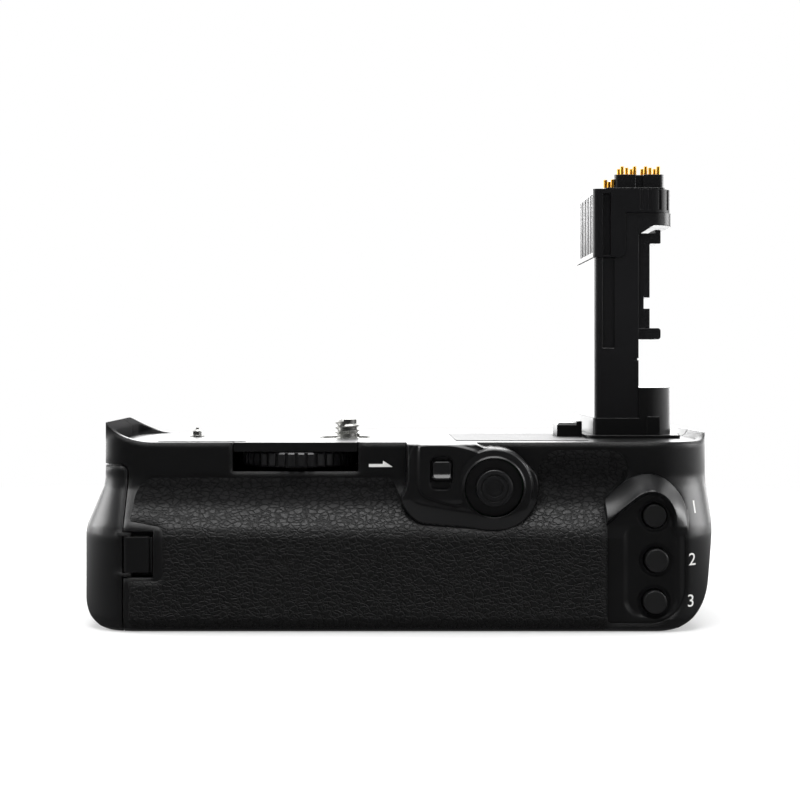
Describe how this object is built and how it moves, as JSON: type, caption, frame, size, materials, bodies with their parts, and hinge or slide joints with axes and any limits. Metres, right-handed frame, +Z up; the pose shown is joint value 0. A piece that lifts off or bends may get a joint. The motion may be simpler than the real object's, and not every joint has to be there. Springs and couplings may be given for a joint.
{
  "type": "camera battery grip",
  "caption": "Battery grip that screws under a camera: tower into the battery well, knurled locking wheel, sliding battery drawer, joystick and upright-shooting controls.",
  "frame": {"origin": "centre of the tripod socket's mouth, in the plane of the underside, under the axis of the attachment screw", "axes": "+X to the operator's right (towards the thumb panel), +Y to the front (the lens side), +Z up towards the camera"},
  "size_m": [0.15, 0.078, 0.1124],
  "materials": {
    "body_plastic": "fine moulded texture, black",
    "inner_plastic": "plain moulded, black",
    "head_plastic": "glossy moulded, black",
    "leather_rubber": "leather-grained rubber skin",
    "pad_rubber": "smooth rubber pad",
    "wheel_metal": "black anodised, ribbed rim",
    "control_plastic": "satin black caps",
    "control_metal": "satin black paint",
    "steel": "turned and brushed",
    "gear_brass": "cut brass",
    "gold": "gold-plated contacts",
    "circuit_board": "green lacquered board",
    "pack_shell": "moulded pack shell"
  },
  "bodies": {
    "grip": {"battery_bay": "inner_plastic", "bay_terminals": "gold", "bottom_plate": "body_plastic", "case_screws": "steel", "contact_block": "head_plastic", "control_board": "circuit_board", "control_plinth": "body_plastic", "deck_block": "body_plastic", "dial_axle": "steel", "dial_bracket": "inner_plastic", "door_clip_lower": "head_plastic", "door_clip_upper": "head_plastic", "front_cover": "body_plastic", "front_leather": "leather_rubber", "function_cup": "inner_plastic", "left_plate": "body_plastic", "locating_pin": "steel", "low_contact_pins": "gold", "main_board": "circuit_board", "rear_cover": "body_plastic", "rear_leather": "leather_rubber", "release_cup": "inner_plastic", "right_pad": "pad_rubber", "screw_dish": "steel", "stick_bracket": "inner_plastic", "thumb_board": "circuit_board", "thumb_panel": "body_plastic", "top_cover": "body_plastic", "tower_board": "circuit_board", "tower_flange": "body_plastic", "tower_foot": "body_plastic", "tower_frame": "body_plastic", "tower_head": "head_plastic", "tripod_socket": "steel", "wheel_axle": "steel"},
    "lock_wheel": {"lock_wheel": "wheel_metal", "wheel_gear": "gear_brass"},
    "attachment_screw": {"attachment_screw": "steel", "screw_gear": "gear_brass"},
    "magazine": {"end_cap": "body_plastic", "battery_tray": "body_plastic", "battery_pack_1": "pack_shell", "battery_pack_2": "pack_shell", "latch_pin": "steel"},
    "drawer_latch": {"drawer_latch": "body_plastic"},
    "stick_yoke": {"stick_yoke": "steel"},
    "stick_stem": {"stick_stem": "steel"},
    "stick_cap": {"stick_cap": "control_plastic"},
    "area_button": {"area_button": "control_plastic"},
    "thumb_button_1": {"thumb_button_1": "control_plastic"},
    "thumb_button_2": {"thumb_button_2": "control_plastic"},
    "thumb_button_3": {"thumb_button_3": "control_plastic"},
    "release_button": {"release_button": "control_metal"},
    "function_button": {"function_button": "control_plastic"},
    "power_lever": {"power_lever": "control_metal"},
    "main_dial": {"main_dial": "control_plastic"},
    "contact_pins": {"contact_pins": "gold"}
  },
  "joints": [
    {"name": "wheel_turn", "type": "hinge", "parent": "grip", "child": "lock_wheel", "pos_m": [-0.0115, -0.01332, 0.039], "axis": [0, 0, 1], "continuous": true},
    {"name": "screw_turn", "type": "hinge", "parent": "grip", "child": "attachment_screw", "pos_m": [0, 0, 0.039], "axis": [0, 0, 1], "continuous": true},
    {"name": "magazine_slide", "type": "slide", "parent": "grip", "child": "magazine", "axis": [-1, 0, 0], "range_m": [0, 0.12]},
    {"name": "latch_turn", "type": "hinge", "parent": "magazine", "child": "drawer_latch", "pos_m": [-0.0502, -0.0329, 0.018], "axis": [0, 0, -1], "range_deg": [0, 90]},
    {"name": "stick_tip", "type": "hinge", "parent": "grip", "child": "stick_yoke", "pos_m": [0.0348, -0.0269, 0.0332], "axis": [1, 0, 0], "range_deg": [-8, 8], "stiffness_Nm_per_rad": 0.02},
    {"name": "stick_swing", "type": "hinge", "parent": "stick_yoke", "child": "stick_stem", "pos_m": [0.0348, -0.0269, 0.0332], "axis": [0, 0, 1], "range_deg": [-8, 8], "stiffness_Nm_per_rad": 0.02},
    {"name": "stick_press", "type": "slide", "parent": "stick_stem", "child": "stick_cap", "axis": [0, 1, 0], "range_m": [0, 0.0004], "stiffness_N_per_m": 400},
    {"name": "area_press", "type": "slide", "parent": "grip", "child": "area_button", "axis": [0, 1, 0], "range_m": [0, 0.0005], "stiffness_N_per_m": 400},
    {"name": "thumb_press_1", "type": "slide", "parent": "grip", "child": "thumb_button_1", "axis": [0, 1, 0], "range_m": [0, 0.0005], "stiffness_N_per_m": 400},
    {"name": "thumb_press_2", "type": "slide", "parent": "grip", "child": "thumb_button_2", "axis": [0, 1, 0], "range_m": [0, 0.0005], "stiffness_N_per_m": 400},
    {"name": "thumb_press_3", "type": "slide", "parent": "grip", "child": "thumb_button_3", "axis": [0, 1, 0], "range_m": [0, 0.0005], "stiffness_N_per_m": 400},
    {"name": "release_press", "type": "slide", "parent": "grip", "child": "release_button", "axis": [-0.7071, -0.7071, 0], "range_m": [0, 0.0008], "stiffness_N_per_m": 400},
    {"name": "function_press", "type": "slide", "parent": "grip", "child": "function_button", "axis": [0, -1, 0], "range_m": [0, 0.0005], "stiffness_N_per_m": 400},
    {"name": "power_turn", "type": "hinge", "parent": "grip", "child": "power_lever", "pos_m": [0.08, 0.036, 0.0145], "axis": [0.7071, 0.7071, 0], "range_deg": [-25, 25]},
    {"name": "dial_turn", "type": "hinge", "parent": "grip", "child": "main_dial", "pos_m": [0.0792, 0.012, 0.028], "axis": [0, 0, 1], "continuous": true},
    {"name": "contacts_press", "type": "slide", "parent": "grip", "child": "contact_pins", "axis": [0, 0, -1], "range_m": [0, 0.0008], "stiffness_N_per_m": 600}
  ],
  "couplings": [
    {"joint": "screw_turn", "follows": "wheel_turn", "ratio": -1.4444}
  ]
}
